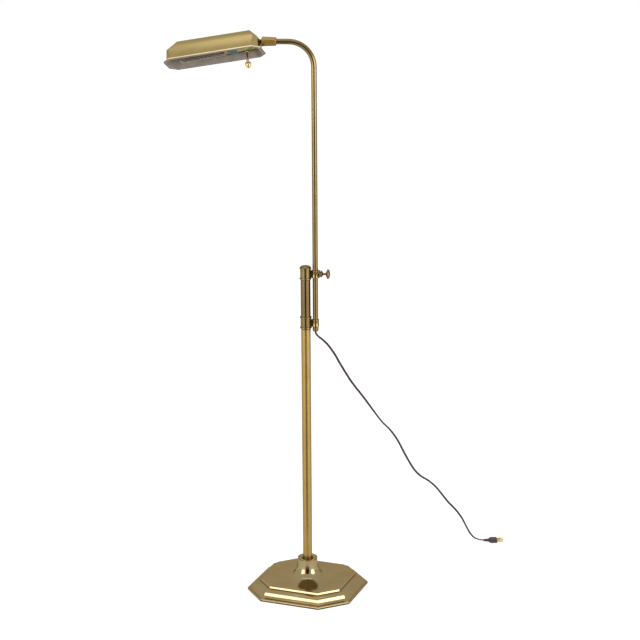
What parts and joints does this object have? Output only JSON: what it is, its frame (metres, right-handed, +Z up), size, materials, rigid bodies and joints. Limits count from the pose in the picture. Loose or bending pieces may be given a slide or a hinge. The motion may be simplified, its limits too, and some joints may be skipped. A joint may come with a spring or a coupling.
{
  "type": "adjustable floor lamp",
  "caption": "Brass pharmacy floor lamp: weighted eight-sided base, column with beaded guides, sliding cranked arm with thumbscrew, and a faceted trough shade on a ball swivel.",
  "frame": {"origin": "middle of the base on the floor, on the column's axis", "axes": "+Z up along the column, +X from the column to the sliding rod, so the arm reaches back over the column towards -X"},
  "size_m": [0.7924, 0.4798, 1.3448],
  "materials": {
    "felt": "matte felt",
    "cast_iron": "as cast",
    "polished_brass": "polished and lacquered",
    "satin_brass": "fine satin",
    "dark_brass": "darkened",
    "socket_brass": "bright drawn",
    "contact_brass": "bright",
    "zinc_steel": "zinc plated",
    "nylon": "moulded",
    "black_plastic": "moulded",
    "cord_plastic": "smooth PVC",
    "blue_green_card": "plain coated card",
    "brown_card": "pressed card",
    "bulb_cap": "bright",
    "clear_glass": "clear",
    "bulb_wire": "drawn wire and glass stem"
  },
  "bodies": {
    "stand": {"base_felt": "felt", "base_weight": "cast_iron", "base_cover": "polished_brass", "base_pipe": "zinc_steel", "base_washer": "zinc_steel", "base_nut": "zinc_steel", "foot_plug": "zinc_steel", "foot_ring": "polished_brass", "column_tube": "satin_brass", "column_coupler": "zinc_steel", "head_tube": "polished_brass", "head_cap": "polished_brass", "lower_guide": "polished_brass", "upper_guide": "polished_brass", "lower_bush": "nylon", "upper_bush": "nylon", "plug_body": "cord_plastic", "plug_blades": "contact_brass"},
    "clamp_pad": {"clamp_pad": "nylon"},
    "thumbscrew": {"thumbscrew": "polished_brass"},
    "rod_end": {"cord_nozzle": "polished_brass", "cord_bushing": "black_plastic", "power_cord": "cord_plastic"},
    "arm": {"arm_tube": "polished_brass", "arm_lead": "cord_plastic", "arm_nipple": "zinc_steel", "nipple_nut": "zinc_steel"},
    "swivel": {"swivel_barrel": "polished_brass", "ball_seat": "zinc_steel", "swivel_spring": "zinc_steel"},
    "ball": {"swivel_ball": "dark_brass"},
    "shade": {"shade_shell": "satin_brass", "stem_nut": "zinc_steel", "socket_cap": "socket_brass", "socket_shell": "socket_brass", "socket_band": "blue_green_card", "socket_liner": "brown_card", "screw_shell": "contact_brass", "center_contact": "contact_brass", "switch_body": "black_plastic", "bulb_base": "bulb_cap", "bulb_glass": "clear_glass", "bulb_filament": "bulb_wire"},
    "switch_key": {"switch_key": "polished_brass"}
  },
  "joints": [
    {"name": "arm_height", "type": "slide", "parent": "stand", "child": "rod_end", "axis": [0, 0, 1], "range_m": [-0.43, 0], "deforming": ["power_cord"]},
    {"name": "arm_swivel", "type": "hinge", "parent": "rod_end", "child": "arm", "pos_m": [0.023, 0, 0.7], "axis": [0, 0, 1], "range_deg": [-170, 170]},
    {"name": "shade_turn", "type": "hinge", "parent": "arm", "child": "swivel", "pos_m": [-0.092, 0, 1.3212], "axis": [1, 0, 0], "range_deg": [-170, 170]},
    {"name": "shade_tilt", "type": "hinge", "parent": "swivel", "child": "ball", "pos_m": [-0.092, 0, 1.3212], "axis": [0, -0.9509, -0.3096], "range_deg": [-41, 16]},
    {"name": "shade_roll", "type": "hinge", "parent": "ball", "child": "shade", "pos_m": [-0.092, 0, 1.3212], "axis": [0.9768, -0.0663, 0.2036], "range_deg": [-150, 150]},
    {"name": "switch_turn", "type": "hinge", "parent": "shade", "child": "switch_key", "pos_m": [-0.12803, -0.00641, 1.29549], "axis": [0.1523, -0.453, -0.8784], "continuous": true},
    {"name": "clamp_travel", "type": "slide", "parent": "stand", "child": "clamp_pad", "axis": [1, 0, 0], "range_m": [0, 0.0016]},
    {"name": "thumbscrew_turn", "type": "hinge", "parent": "clamp_pad", "child": "thumbscrew", "pos_m": [0.04, 0, 0.7838], "axis": [1, 0, 0], "range_deg": [0, 722]}
  ],
  "couplings": [
    {"joint": "thumbscrew_turn", "follows": "clamp_travel", "rad_per_m": 7854}
  ]
}
